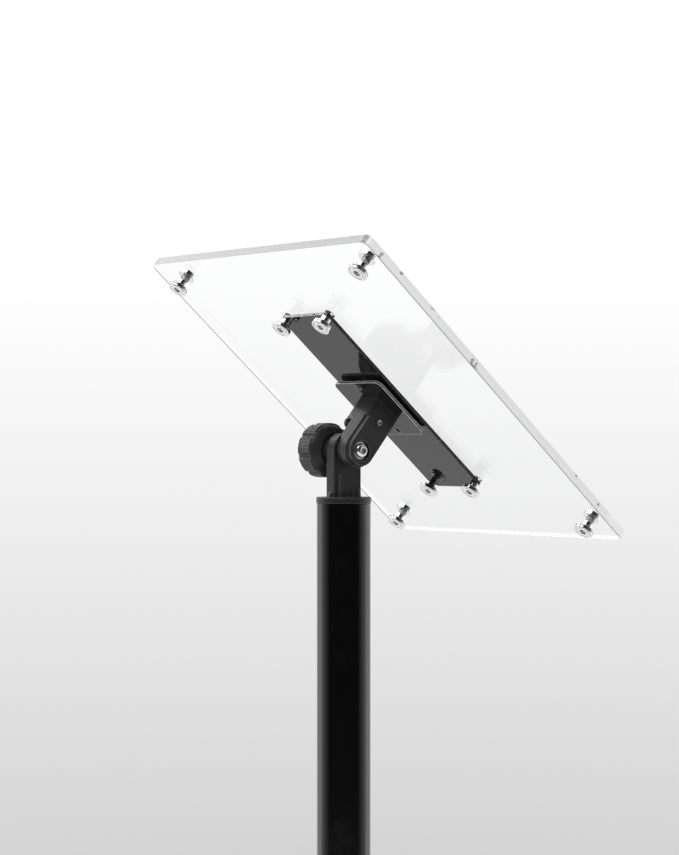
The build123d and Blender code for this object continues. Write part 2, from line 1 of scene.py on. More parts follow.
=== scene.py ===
"""Looks of a pedestal sign stand: clear sign, tilting head, sectional pole and round base."""

import json
from math import atan2, cos, hypot, pi, radians, sin, sqrt

import bmesh
import bpy
from bpy.props import FloatProperty, FloatVectorProperty, IntProperty, PointerProperty
from bpy.types import Operator, Panel, PropertyGroup
from mathutils import Matrix, Vector


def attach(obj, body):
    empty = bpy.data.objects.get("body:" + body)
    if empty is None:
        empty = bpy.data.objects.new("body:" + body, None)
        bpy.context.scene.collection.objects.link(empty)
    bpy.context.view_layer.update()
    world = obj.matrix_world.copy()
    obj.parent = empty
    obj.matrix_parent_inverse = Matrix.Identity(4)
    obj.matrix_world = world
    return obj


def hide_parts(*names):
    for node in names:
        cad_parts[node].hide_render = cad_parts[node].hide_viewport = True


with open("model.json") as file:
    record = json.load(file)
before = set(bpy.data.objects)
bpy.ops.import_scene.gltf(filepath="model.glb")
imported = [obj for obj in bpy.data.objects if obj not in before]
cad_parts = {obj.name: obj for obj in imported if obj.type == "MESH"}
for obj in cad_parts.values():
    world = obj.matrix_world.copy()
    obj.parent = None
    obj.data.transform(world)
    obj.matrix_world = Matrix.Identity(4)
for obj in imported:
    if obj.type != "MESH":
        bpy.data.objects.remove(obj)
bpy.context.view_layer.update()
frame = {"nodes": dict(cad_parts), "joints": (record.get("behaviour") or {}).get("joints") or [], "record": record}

bl_info = {
    "name": "Pedestal Sign Stand",
    "version": (1, 0, 0),
    "blender": (4, 5, 0),
    "location": "View3D > Sidebar > Sign Stand",
    "description": "Builds the finished pieces, materials and studio of a pedestal sign stand",
    "category": "Object",
}

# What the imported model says
NODES = frame["nodes"]
RECORD = frame["record"]
JOINTS = {joint["name"]: joint for joint in frame["joints"]}
SLOT_OF = {row["node"]: row["material_slot"] for row in RECORD["subparts"]}
COLOUR_OF = {row["slot"]: row["base_color"][:3] for row in RECORD["materials"]}
BODIES = RECORD["behaviour"]["bodies"]
BODY_OF = {node: body for body, members in BODIES.items() for node in members}

# Places of the model's own axes: Z of each is the axis that its round pieces are turned about
MM = 0.001
TILT_AXIS = Vector((1, 0, 0))
PIVOT = Vector(JOINTS["panel_tilt"]["pos_m"])
SIGN_CENTRE = Vector(JOINTS["panel_turn"]["pos_m"])
SIGN_OUT = Vector(JOINTS["panel_turn"]["axis"]).normalized()
SIGN_UP = SIGN_OUT.cross(TILT_AXIS)


def placed(origin, x_axis, y_axis, z_axis):
    """Matrix of a place with that origin and those axes."""
    place = Matrix((x_axis, y_axis, z_axis)).transposed().to_4x4()
    place.translation = origin
    return place


POLE_PLACE = Matrix.Identity(4)
SIGN_PLACE = placed(SIGN_CENTRE, TILT_AXIS, SIGN_UP, SIGN_OUT)
BOLT_PLACE = placed(PIVOT, Vector((0, 1, 0)), Vector((0, 0, 1)), TILT_AXIS)


def measured(node, place):
    """Lowest and highest corner of a CAD node in the axes of a place."""
    to_place = place.inverted()
    points = [to_place @ vertex.co for vertex in NODES[node].data.vertices]
    low = Vector([min(point[axis] for point in points) for axis in range(3)])
    high = Vector([max(point[axis] for point in points) for axis in range(3)])
    return low, high


def measured_round(node, place):
    """Least and greatest radius, lowest and highest level of a CAD node at a place, in mm."""
    to_place = place.inverted()
    points = [to_place @ vertex.co for vertex in NODES[node].data.vertices]
    reach = [hypot(point.x, point.y) for point in points]
    levels = [point.z for point in points]
    return tuple(size / MM for size in (min(reach), max(reach), min(levels), max(levels)))


BAR_BACK = measured("back_bar", SIGN_PLACE)[0].z
SHEET_LOW, SHEET_HIGH = measured("rear_sheet", SIGN_PLACE)
SIGN_FRONT = measured("front_sheet", SIGN_PLACE)[1].z

# Distances between the fasteners, across and along the sign
CORNER_PITCH = (203 * MM, 267 * MM)
BAR_PITCH = (45 * MM, 177.5 * MM)

# How near points lie to be joined, and how far an edge turns to count as flat or as sharp
JOINED = 0.002 * MM
FLAT_ANGLE = radians(0.6)
SHARP_ANGLE = radians(32)


def grid(pitch, level):
    """Places of four fasteners round the middle of the sign, at a level above the tilt axis."""
    across, along = pitch
    spots = [(x, y) for y in (-along / 2, along / 2) for x in (-across / 2, across / 2)]
    return [SIGN_PLACE @ Matrix.Translation((x, y, level)) for x, y in spots]


class StandSizes(PropertyGroup):
    """Sizes of the finish that the CAD solids leave plain."""

    moulded_ease: FloatProperty(
        name="Moulded Edges", description="Width of the rounding on moulded nylon edges",
        default=0.5 * MM, min=0, unit="LENGTH",
    )
    plate_ease: FloatProperty(
        name="Plate Edges", description="Width of the rounding on the plate and the bar",
        default=0.25 * MM, min=0, unit="LENGTH",
    )
    fastener_ease: FloatProperty(
        name="Fastener Edges", description="Width of the rounding on turned metal edges",
        default=0.12 * MM, min=0, unit="LENGTH",
    )
    sheet_ease: FloatProperty(
        name="Sheet Edges", description="Width of the flame-polished bevel on the clear sheets",
        default=0.35 * MM, min=0, unit="LENGTH",
    )
    sheet_gap: FloatProperty(
        name="Sheet Gap", description="Air left on each face of a clear sheet",
        default=0.08 * MM, min=0, unit="LENGTH",
    )
    rubber_ease: FloatProperty(
        name="Rubber Edges", description="Width of the rounding on the rubber ring",
        default=0.6 * MM, min=0, unit="LENGTH",
    )
    knob_lobes: IntProperty(
        name="Knob Lobes", description="Number of lobes round the clamp knob",
        default=8, min=3,
    )
    knob_ribs: IntProperty(
        name="Knob Ribs", description="Fine grip ribs in one lobe's share of the turn",
        default=9, min=0,
    )
    knob_rib_depth: FloatProperty(
        name="Rib Depth", description="Depth of the fine grip ribs on the knob",
        default=0.36 * MM, min=0, unit="LENGTH",
    )


class StandColours(PropertyGroup):
    """Colours of the finishes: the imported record's, with deeper blacks and a clearer acrylic."""

    nylon: FloatVectorProperty(
        name="Nylon", description="Colour of the moulded nylon",
        default=(0.016, 0.016, 0.017), subtype="COLOR", min=0, max=1,
    )
    coating: FloatVectorProperty(
        name="Coating", description="Colour of the coated pole and base",
        default=(0.0022, 0.0022, 0.0024), subtype="COLOR", min=0, max=1,
    )
    rubber: FloatVectorProperty(
        name="Rubber", description="Colour of the rubber ring",
        default=COLOUR_OF["black_rubber"], subtype="COLOR", min=0, max=1,
    )
    gloss: FloatVectorProperty(
        name="Gloss Black", description="Colour of the glossy plate and bar",
        default=COLOUR_OF["gloss_black"], subtype="COLOR", min=0, max=1,
    )
    chrome: FloatVectorProperty(
        name="Chrome", description="Colour of the chrome plating",
        default=COLOUR_OF["chrome"], subtype="COLOR", min=0, max=1,
    )
    zinc: FloatVectorProperty(
        name="Zinc", description="Colour of the zinc-plated steel",
        default=COLOUR_OF["plated_steel"], subtype="COLOR", min=0, max=1,
    )
    brass: FloatVectorProperty(
        name="Brass", description="Colour of the turned brass",
        default=COLOUR_OF["brass"], subtype="COLOR", min=0, max=1,
    )
    # Painted highlight: the pale colour laid along the plate's edges in place of their bright reflection
    highlight_colour: FloatVectorProperty(
        name="Bare Metal", description="Colour of the metal that shows along rubbed plate edges",
        default=(0.8, 0.8, 0.8), subtype="COLOR", min=0, max=1,
    )
    acrylic: FloatVectorProperty(
        name="Acrylic", description="Tint of the clear sheets",
        default=(0.998, 1.0, 1.0), subtype="COLOR", min=0, max=1,
    )
    acrylic_rim: FloatVectorProperty(
        name="Acrylic Rim", description="Colour of the sawn and polished edges of the clear sheets",
        default=(0.98, 0.985, 0.99), subtype="COLOR", min=0, max=1,
    )


class StudioSettings(PropertyGroup):
    """Camera, lamps and floor."""

    camera_distance: FloatProperty(
        name="Distance", description="From the camera to the pole",
        default=1.541, min=0.1, unit="LENGTH",
    )
    camera_azimuth: FloatProperty(
        name="Azimuth", description="Direction that the camera looks in, from +Y towards -X",
        default=radians(231.2), subtype="ANGLE",
    )
    camera_rise: FloatProperty(
        name="Rise", description="Height of the camera above the tilt axis",
        default=0.0094, unit="LENGTH",
    )
    camera_aside: FloatProperty(
        name="Aside", description="Step of the camera to its right",
        default=-0.00295, unit="LENGTH",
    )
    camera_lens: FloatProperty(
        name="Lens", description="Focal length for a 36 mm long side",
        default=92.2, min=10, unit="CAMERA",
    )
    camera_shift: FloatProperty(
        name="Shift", description="Vertical shift, as a share of the long side",
        default=0.0111,
    )
    ambient: FloatProperty(
        name="Ambient", description="Light that matt surfaces get from all round",
        default=0.8, min=0,
    )
    key_power: FloatProperty(
        name="Key Light", description="Power of the large lamp overhead",
        default=18, min=0, unit="POWER",
    )
    side_power: FloatProperty(
        name="Side Lights", description="Power of each upright lamp beside the stand",
        default=1.5, min=0, unit="POWER",
    )
    edge_power: FloatProperty(
        name="Edge Light", description="Power of the strip lamp above and behind on the left",
        default=5, min=0, unit="POWER",
    )
    floor_radius: FloatProperty(
        name="Floor", description="Radius of the floor",
        default=3, min=1, unit="LENGTH",
    )
    floor_colour: FloatVectorProperty(
        name="Floor Colour", description="Colour of the floor",
        default=(0.66, 0.66, 0.66), subtype="COLOR", min=0, max=1,
    )
    backdrop_low: FloatVectorProperty(
        name="Low Backdrop", description="Colour behind the stand, low down and at the floor's rim",
        default=(0.65, 0.65, 0.65), subtype="COLOR", min=0, max=1,
    )
    backdrop_high: FloatVectorProperty(
        name="High Backdrop", description="Colour behind the stand, high up",
        default=(1.0, 1.0, 1.0), subtype="COLOR", min=0, max=1,
    )
    dark_colour: FloatVectorProperty(
        name="Dark Side", description="What glossy surfaces reflect on the camera's side",
        default=(0.02, 0.02, 0.02), subtype="COLOR", min=0, max=1,
    )


# Shared effects, each a node group
def new_group(name, inputs, outputs):
    """Empty node group with number inputs (name, default) and number outputs."""
    group = bpy.data.node_groups.new(name, "ShaderNodeTree")
    interface = group.interface
    for label, default in inputs:
        socket = interface.new_socket(name=label, in_out="INPUT", socket_type="NodeSocketFloat")
        socket.default_value = default
    for label in outputs:
        interface.new_socket(name=label, in_out="OUTPUT", socket_type="NodeSocketFloat")
    return group, group.nodes.new("NodeGroupInput"), group.nodes.new("NodeGroupOutput")


def add_node(tree, kind, inputs, **settings):
    """Node with its settings, whose inputs are set to values or linked to sockets."""
    node = tree.nodes.new(kind)
    for name, setting in settings.items():
        setattr(node, name, setting)
    for label, value in inputs.items():
        if isinstance(value, bpy.types.NodeSocket):
            tree.links.new(value, node.inputs[label])
        else:
            node.inputs[label].default_value = value
    return node


def add_math(tree, operation, first, second, clamp=False):
    """Result of a math node on two sockets or numbers."""
    inputs = {0: first, 1: second}
    return add_node(tree, "ShaderNodeMath", inputs, operation=operation, use_clamp=clamp).outputs[0]


def add_dot(tree, first, second):
    """Result of the dot product of a vector socket with a socket or a vector."""
    inputs = {0: first, 1: second}
    return add_node(tree, "ShaderNodeVectorMath", inputs, operation="DOT_PRODUCT").outputs["Value"]


def add_noise(tree, vector, scale, detail, roughness=0.5):
    """Result of a noise texture on a vector."""
    inputs = {"Vector": vector, "Scale": scale, "Detail": detail, "Roughness": roughness}
    return add_node(tree, "ShaderNodeTexNoise", inputs).outputs["Fac"]


def add_range(tree, value, low, high, to_low=0.0, to_high=1.0):
    """A value mapped from low..high to to_low..to_high, and clamped."""
    limits = {"From Min": low, "From Max": high, "To Min": to_low, "To Max": to_high}
    return add_node(tree, "ShaderNodeMapRange", {"Value": value, **limits}).outputs["Result"]


def object_vector(tree, stretch=(1, 1, 1)):
    """Object coordinates in metres, stretched along each axis."""
    source = tree.nodes.new("ShaderNodeTexCoord").outputs["Object"]
    inputs = {"Vector": source, "Scale": stretch}
    return add_node(tree, "ShaderNodeMapping", inputs).outputs["Vector"]


def grain_group():
    """Spark-eroded grain of moulded or coated surfaces, and the broad patches in it."""
    group, source, result = new_group("Surface Grain", [("Scale", 2500.0)], ["Height", "Patches"])
    vector = object_vector(group)
    scale = source.outputs["Scale"]
    pit_scale, pit_depth, patch_scale = 0.6, 0.6, 0.018
    fine = add_noise(group, vector, scale, detail=3.0, roughness=0.6)
    inputs = {"Vector": vector, "Scale": add_math(group, "MULTIPLY", scale, pit_scale)}
    cells = add_node(group, "ShaderNodeTexVoronoi", inputs, feature="SMOOTH_F1")
    pits = add_math(group, "MULTIPLY", cells.outputs["Distance"], pit_depth)
    group.links.new(add_math(group, "ADD", fine, pits), result.inputs["Height"])
    broad = add_noise(group, vector, add_math(group, "MULTIPLY", scale, patch_scale), detail=3.0)
    group.links.new(add_range(group, broad, 0.3, 0.7), result.inputs["Patches"])
    return group


def marks_group():
    """Smudges from handling: soft patches broken up by finer noise."""
    inputs = [("Scale", 30.0), ("Amount", 0.5)]
    group, source, result = new_group("Handling Marks", inputs, ["Mask"])
    vector = object_vector(group)
    scale = source.outputs["Scale"]
    finer_scale = add_math(group, "MULTIPLY", scale, 7.0)
    broad = add_range(group, add_noise(group, vector, scale, detail=3.0), 0.48, 0.7)
    finer = add_range(group, add_noise(group, vector, finer_scale, detail=4.0), 0.35, 0.65)
    both = add_math(group, "MULTIPLY", broad, finer)
    mask = add_math(group, "MULTIPLY", both, source.outputs["Amount"], clamp=True)
    group.links.new(mask, result.inputs["Mask"])
    return group


def edges_group():
    """Mask of edges, found where the surface turns within a small radius and broken up by noise; it carries
    painted edge highlights and shade, and on moulded pieces edge wear too.
    """
    inputs = [("Radius", 0.5 * MM), ("Amount", 1.0)]
    group, source, result = new_group("Painted Edge Light And Wear", inputs, ["Mask"])
    radius = {"Radius": source.outputs["Radius"]}
    rounded = add_node(group, "ShaderNodeBevel", radius, samples=4).outputs["Normal"]
    plain = group.nodes.new("ShaderNodeNewGeometry").outputs["Normal"]
    turned_away = add_range(group, add_dot(group, rounded, plain), 0.995, 0.82)
    uneven = add_noise(group, object_vector(group), scale=900.0, detail=3.0)
    worn = add_range(group, uneven, 0.35, 0.62, 0.25, 1.0)
    both = add_math(group, "MULTIPLY", turned_away, worn)
    mask = add_math(group, "MULTIPLY", both, source.outputs["Amount"], clamp=True)
    group.links.new(mask, result.inputs["Mask"])
    return group


def scratches_group():
    """Hair-fine polishing lines in two directions."""
    group, source, result = new_group("Polishing Lines", [("Scale", 4000.0)], ["Height", "Mask"])
    scale = source.outputs["Scale"]
    along = add_noise(group, object_vector(group, (1, 0.04, 0.04)), scale, 2.0)
    across = add_noise(group, object_vector(group, (0.05, 1, 0.7)), scale, 2.0)
    group.links.new(add_math(group, "ADD", along, across), result.inputs["Height"])
    lines = add_math(group, "MULTIPLY", along, across)
    group.links.new(add_range(group, lines, 0.2, 0.38), result.inputs["Mask"])
    return group


GROUP_MAKERS = {
    "Surface Grain": grain_group,
    "Handling Marks": marks_group,
    "Painted Edge Light And Wear": edges_group,
    "Polishing Lines": scratches_group,
}


def add_effect(tree, name, **values):
    """Node of a shared effect in a material, with its own values."""
    group = bpy.data.node_groups.get(name) or GROUP_MAKERS[name]()
    return add_node(tree, "ShaderNodeGroup", values, node_tree=group)


def add_mix(tree, mask, first, second):
    """Two colours, each a socket or a tuple, mixed by a mask."""
    first, second = ((*side, 1) if isinstance(side, tuple) else side for side in (first, second))
    inputs = {"Factor": mask, 6: first, 7: second}
    return add_node(tree, "ShaderNodeMix", inputs, data_type="RGBA").outputs[2]


def shade(colour, factor, lift=0.0):
    """A colour made lighter or darker, and lifted towards grey."""
    return tuple(channel * factor + lift for channel in colour)


def new_material(name, colour, values):
    """Material with one Principled shader and constant values on that shader's own sockets."""
    material = bpy.data.materials.new(name)
    material.use_nodes = True
    material.diffuse_color = (*colour[:3], 1)
    tree = material.node_tree
    shader = tree.nodes["Principled BSDF"]
    shader.inputs["Base Color"].default_value = (*colour[:3], 1)
    for label, number in values.items():
        shader.inputs[label].default_value = number
    return material, tree, shader


def add_finish(tree, shader, colour, wear, rough):
    """Base colour from a socket, and roughness from clean to worn by a mask of wear."""
    tree.links.new(colour, shader.inputs["Base Color"])
    tree.links.new(add_range(tree, wear, 0.0, 1.0, *rough), shader.inputs["Roughness"])


def add_bump(tree, shader, height, distance, strength):
    """Bump from a height socket, with its depth in metres."""
    inputs = {"Height": height, "Distance": distance, "Strength": strength}
    bump = add_node(tree, "ShaderNodeBump", inputs)
    tree.links.new(bump.outputs["Normal"], shader.inputs["Normal"])


def moulded(name, colour, grain_scale, rough, highlight_lift):
    """Moulded plastic or rubber: fine grain, faint patches, and edges polished by use and lightened by a painted
    highlight.
    """
    values = {"Roughness": rough[0], "Specular IOR Level": 0.4}
    material, tree, shader = new_material(name, colour, values)
    grain = add_effect(tree, "Surface Grain", Scale=grain_scale)
    edges = add_effect(tree, "Painted Edge Light And Wear", Radius=0.9 * MM, Amount=2.2)
    marks = add_effect(tree, "Handling Marks", Scale=38.0, Amount=0.6)
    patched = add_mix(tree, grain.outputs["Patches"], shade(colour, 0.86), shade(colour, 1.14))
    # Painted highlight: the edges are lifted lighter to stand in for the light they catch
    highlighted = add_mix(tree, edges.outputs["Mask"], patched, shade(colour, 1.25, highlight_lift))
    polish = add_math(tree, "MAXIMUM", edges.outputs["Mask"], marks.outputs["Mask"])
    add_finish(tree, shader, highlighted, polish, rough)
    add_bump(tree, shader, grain.outputs["Height"], distance=0.03 * MM, strength=0.5)
    return material


def coated(name, colour):
    """Satin black coating: faint orange peel and a few rubbed patches."""
    material, tree, shader = new_material(name, colour, {"Roughness": 0.16})
    grain = add_effect(tree, "Surface Grain", Scale=900.0)
    marks = add_effect(tree, "Handling Marks", Scale=14.0, Amount=0.8)
    patched = add_mix(tree, grain.outputs["Patches"], shade(colour, 0.85), shade(colour, 1.15))
    add_finish(tree, shader, patched, marks.outputs["Mask"], rough=(0.14, 0.24))
    add_bump(tree, shader, grain.outputs["Height"], distance=0.01 * MM, strength=0.2)
    return material


def glossy(name, colour, edge_highlight=0.0):
    """High-gloss black surface with faint smudges, and a pale painted highlight along its edges in place of their
    bright reflection.
    """
    material, tree, shader = new_material(name, colour, {"Roughness": 0.05})
    marks = add_effect(tree, "Handling Marks", Scale=26.0, Amount=0.9)
    grain = add_effect(tree, "Surface Grain", Scale=180.0)
    edges = add_effect(tree, "Painted Edge Light And Wear", Radius=1.1 * MM, Amount=edge_highlight)
    smudged = add_mix(tree, marks.outputs["Mask"], colour, shade(colour, 1.3, 0.002))
    # Painted highlight: a pale line along the edges stands in for their bright reflection
    highlighted = add_mix(tree, edges.outputs["Mask"], smudged, finish_colour("highlight_colour"))
    add_finish(tree, shader, highlighted, marks.outputs["Mask"], rough=(0.04, 0.13))
    add_bump(tree, shader, grain.outputs["Height"], distance=0.01 * MM, strength=0.15)
    return material


def plated(name, colour, rough, line_scale):
    """Plated or turned metal with polishing lines, light smudges and painted dark reflections along its edges."""
    values = {"Roughness": rough[0], "Metallic": 1.0}
    material, tree, shader = new_material(name, colour, values)
    lines = add_effect(tree, "Polishing Lines", Scale=line_scale)
    marks = add_effect(tree, "Handling Marks", Scale=90.0, Amount=0.9)
    edges = add_effect(tree, "Painted Edge Light And Wear", Radius=0.6 * MM, Amount=3.0)
    smudged = add_mix(tree, marks.outputs["Mask"], colour, shade(colour, 0.9))
    # Painted reflection: the edges are darkened to stand in for the dark surroundings they mirror
    toned = add_mix(tree, edges.outputs["Mask"], smudged, shade(colour, 0.12))
    dull = add_math(tree, "MAXIMUM", lines.outputs["Mask"], marks.outputs["Mask"])
    add_finish(tree, shader, toned, dull, rough)
    add_bump(tree, shader, lines.outputs["Height"], distance=0.004 * MM, strength=0.2)
    return material


def add_border(tree, vector, axis, limit, width):
    """Mask of a border of the sign, up to a limit along an axis and full over its outer part."""
    limit += SIGN_CENTRE.dot(axis)
    return add_range(tree, add_dot(tree, vector, axis), limit - width, limit - width * 0.4)


def clear(name, colour):
    """Smooth faces of clear acrylic, with faint smudges and a painted dark line along one polished edge."""
    values = {"Roughness": 0.0, "IOR": 1.16, "Transmission Weight": 1.0}
    material, tree, shader = new_material(name, colour, values)
    vector = object_vector(tree)
    # Painted shade: a dark line along the back of one side edge, where that edge looks dark through the sheet
    at_side = add_border(tree, vector, TILT_AXIS, SHEET_HIGH.x, width=1.6 * MM)
    at_back = add_border(tree, vector, -SIGN_OUT, -SHEET_LOW.z, width=1.1 * MM)
    line = add_math(tree, "MULTIPLY", at_side, at_back)
    lined = add_mix(tree, line, colour, shade(colour, 0.04))
    marks = add_effect(tree, "Handling Marks", Scale=20.0, Amount=0.8)
    add_finish(tree, shader, lined, marks.outputs["Mask"], rough=(0.0, 0.03))
    return material


def clear_rim(name, colour):
    """Sawn and polished edge of clear acrylic: pale outside, and see-through from inside."""
    values = {
        "Roughness": 0.2, "IOR": 1.49, "Transmission Weight": 0.08, "Specular IOR Level": 0.15,
    }
    material, tree, shader = new_material(name, colour, values)
    vector = object_vector(tree)
    # Short bright and dark streaks across the rim
    bright = add_range(tree, add_noise(tree, vector, scale=26.0, detail=2.0), 0.6, 0.68)
    dark = add_range(tree, add_noise(tree, vector, scale=95.0, detail=3.0), 0.62, 0.66)
    streaked = add_mix(tree, bright, colour, (1.0, 1.0, 1.0))
    marked = add_mix(tree, dark, streaked, shade(colour, 0.4))
    # The top and bottom rims of the sheet gather less light than its sides
    for axis, limit, factor in ((SIGN_UP, SHEET_HIGH.y, 0.32), (-SIGN_UP, -SHEET_LOW.y, 0.6)):
        here = add_border(tree, vector, axis, limit, width=2.5 * MM)
        marked = add_mix(tree, here, marked, shade(colour, factor))
    # Painted shade: a dark line along the back of every rim
    at_back = add_border(tree, vector, -SIGN_OUT, -SHEET_LOW.z, width=0.9 * MM)
    lined = add_mix(tree, at_back, marked, shade(colour, 0.3))
    # From inside the sheet only the painted dark line along the back shows
    inside = tree.nodes.new("ShaderNodeNewGeometry").outputs["Backfacing"]
    outside = add_math(tree, "SUBTRACT", 1.0, inside)
    tree.links.new(add_math(tree, "MAXIMUM", outside, at_back), shader.inputs["Alpha"])
    marks = add_effect(tree, "Handling Marks", Scale=60.0, Amount=0.9)
    add_finish(tree, shader, lined, marks.outputs["Mask"], rough=(0.12, 0.3))
    return material


def finish_colour(label):
    """One of the stand's colours, as a tuple."""
    return tuple(getattr(bpy.context.scene.stand_colours, label))


# Maker, colour and values of the record's slots, then of three finishes that only some pieces have
FINISHES = {
    "black_nylon": (
        moulded, "nylon", {"grain_scale": 2600.0, "rough": (0.44, 0.3), "highlight_lift": 0.1},
    ),
    "black_rubber": (
        moulded, "rubber", {"grain_scale": 1800.0, "rough": (0.82, 0.6), "highlight_lift": 0.01},
    ),
    "black_coating": (coated, "coating", {}),
    "gloss_black": (glossy, "gloss", {}),
    "chrome": (plated, "chrome", {"rough": (0.04, 0.12), "line_scale": 5000.0}),
    "plated_steel": (plated, "zinc", {"rough": (0.22, 0.4), "line_scale": 2500.0}),
    "brass": (plated, "brass", {"rough": (0.2, 0.34), "line_scale": 2500.0}),
    "clear_acrylic": (clear, "acrylic", {}),
    "satin_chrome": (plated, "chrome", {"rough": (0.2, 0.32), "line_scale": 3200.0}),
    "gloss_black_plate": (glossy, "gloss", {"edge_highlight": 3.0}),
    "clear_acrylic_rim": (clear_rim, "acrylic_rim", {}),
}


def material_of(finish):
    """Material of one of the finishes, made when it is first asked for."""
    name = finish.replace("_", " ").title()
    if name in bpy.data.materials:
        return bpy.data.materials[name]
    maker, colour, values = FINISHES[finish]
    return maker(name, finish_colour(colour), **values)


# Shapes
def turned(rings, segments, closed=False):
    """Shape turned about Z through rings of (radius, height), given in millimetres.

    A ring may have an outline too, a function of the angle and the ring's radius.
    The two ends are filled, or with closed the last ring joins the first, as round a hole.
    """
    bm = bmesh.new()
    bmesh.ops.create_circle(bm, cap_ends=False, radius=1.0, segments=segments)
    loop = bm.edges[:]
    first_loop = loop
    for number, ring in enumerate(rings):
        radius, height = ring[:2]
        outline = ring[2] if len(ring) > 2 else None
        if number:
            grown = bmesh.ops.extrude_edge_only(bm, edges=loop)["geom"]
            loop = [item for item in grown if isinstance(item, bmesh.types.BMEdge)]
        for vertex in {vertex for edge in loop for vertex in edge.verts}:
            angle = atan2(vertex.co.y, vertex.co.x)
            reach = outline(angle, radius) if outline else radius
            vertex.co = Vector((reach * cos(angle), reach * sin(angle), height)) * MM
    if closed:
        bmesh.ops.bridge_loops(bm, edges=first_loop + loop)
    else:
        bmesh.ops.edgeloop_fill(bm, edges=first_loop)
        bmesh.ops.edgeloop_fill(bm, edges=loop)
    bmesh.ops.recalc_face_normals(bm, faces=bm.faces)
    return bm


def hexagon(angle, apothem):
    """Radius of a hexagon with that apothem, at an angle."""
    return apothem / cos((angle + pi / 6) % (pi / 3) - pi / 6)


def hex_socket(apothem, face, depth, lead):
    """Rings of a hexagon socket in a face that looks down, from its floor to its lead-in."""
    return [(apothem, face + depth, hexagon), (apothem, face + lead, hexagon)]


def arc_rings(centre_radius, centre_height, radius, start, end, steps, outline=None):
    """Rings along an arc of the profile. Its angles, in degrees, turn from outwards to upwards."""
    rings = []
    for step in range(steps + 1):
        angle = radians(start + (end - start) * step / steps)
        ring = (centre_radius + radius * cos(angle), centre_height + radius * sin(angle))
        rings.append((*ring, outline) if outline else ring)
    return rings


def copies(bm, places):
    """The same shape at several places, as one mesh."""
    one = bpy.data.meshes.new("one")
    bm.to_mesh(one)
    bm.free()
    several = bmesh.new()
    for place in places:
        before = len(several.verts)
        several.from_mesh(one)
        several.verts.ensure_lookup_table()
        bmesh.ops.transform(several, matrix=place, verts=several.verts[before:])
    bpy.data.meshes.remove(one)
    return several


def merged_copy(node):
    """Copy of a CAD node's mesh, with its loose triangles joined and its flat faces made whole."""
    bm = bmesh.new()
    bm.from_mesh(NODES[node].data)
    bmesh.ops.remove_doubles(bm, verts=bm.verts, dist=JOINED)
    bmesh.ops.dissolve_limit(bm, angle_limit=FLAT_ANGLE, verts=bm.verts, edges=bm.edges)
    return bm


def add_piece(node, bm, ease, materials=None):
    """Finish a shape as the piece for a CAD node, with eased edges, material, slot and body."""
    name = f"{node}_finished"
    mesh = bpy.data.meshes.new(name)
    bm.to_mesh(mesh)
    bm.free()
    # Normals that came with the CAD mesh don't fit the eased edges
    if "custom_normal" in mesh.attributes:
        mesh.attributes.remove(mesh.attributes["custom_normal"])
    mesh.shade_smooth()
    for material in materials or [material_of(SLOT_OF[node])]:
        mesh.materials.append(material)
    piece = bpy.data.objects.new(name, mesh)
    bpy.context.scene.collection.objects.link(piece)
    if ease:
        bevel = piece.modifiers.new("Eased edges", "BEVEL")
        bevel.width = ease
        bevel.segments = 3
        bevel.limit_method = "ANGLE"
        bevel.angle_limit = SHARP_ANGLE
        bevel.use_clamp_overlap = True
    else:
        mesh.set_sharp_from_angle(angle=SHARP_ANGLE)
    normals = piece.modifiers.new("Flat faces", "WEIGHTED_NORMAL")
    normals.keep_sharp = True
    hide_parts(node)
    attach(piece, BODY_OF[node])
    return piece


def eased(node, ease, materials=None):
    """Add a piece with a CAD node's own shape and eased edges."""
    add_piece(node, merged_copy(node), ease, materials)


def turned_piece(node, rings, places, ease, segments, materials=None, closed=False):
    """Add a piece of one or more like round shapes, turned once and put at their places."""
    add_piece(node, copies(turned(rings, segments, closed), places), ease, materials)


def ring_piece(node, place, ease, segments=64, materials=None):
    """Add a piece for a round CAD node with a hole, such as a washer or a tube."""
    inner, outer, low, high = measured_round(node, place)
    rings = [(inner, low), (outer, low), (outer, high), (inner, high)]
    turned_piece(node, rings, [place], ease, segments, materials, closed=True)


def dress(*nodes):
    """Give CAD nodes that stay as they are the material of their slot."""
    for node in nodes:
        mesh = NODES[node].data
        mesh.materials.clear()
        mesh.materials.append(material_of(SLOT_OF[node]))


class STAND_OT_build_pole(Operator):
    """Build the three pole sections, their inserts and the bush"""

    bl_idname = "stand.build_pole"
    bl_label = "Build Pole"

    def execute(self, context):
        for node in ("lower_pole", "middle_pole", "upper_pole"):
            ring_piece(node, POLE_PLACE, ease=0.4 * MM, segments=160)
        dress("pole_nut_inserts", "pole_stud_inserts", "pole_bush")
        return {"FINISHED"}


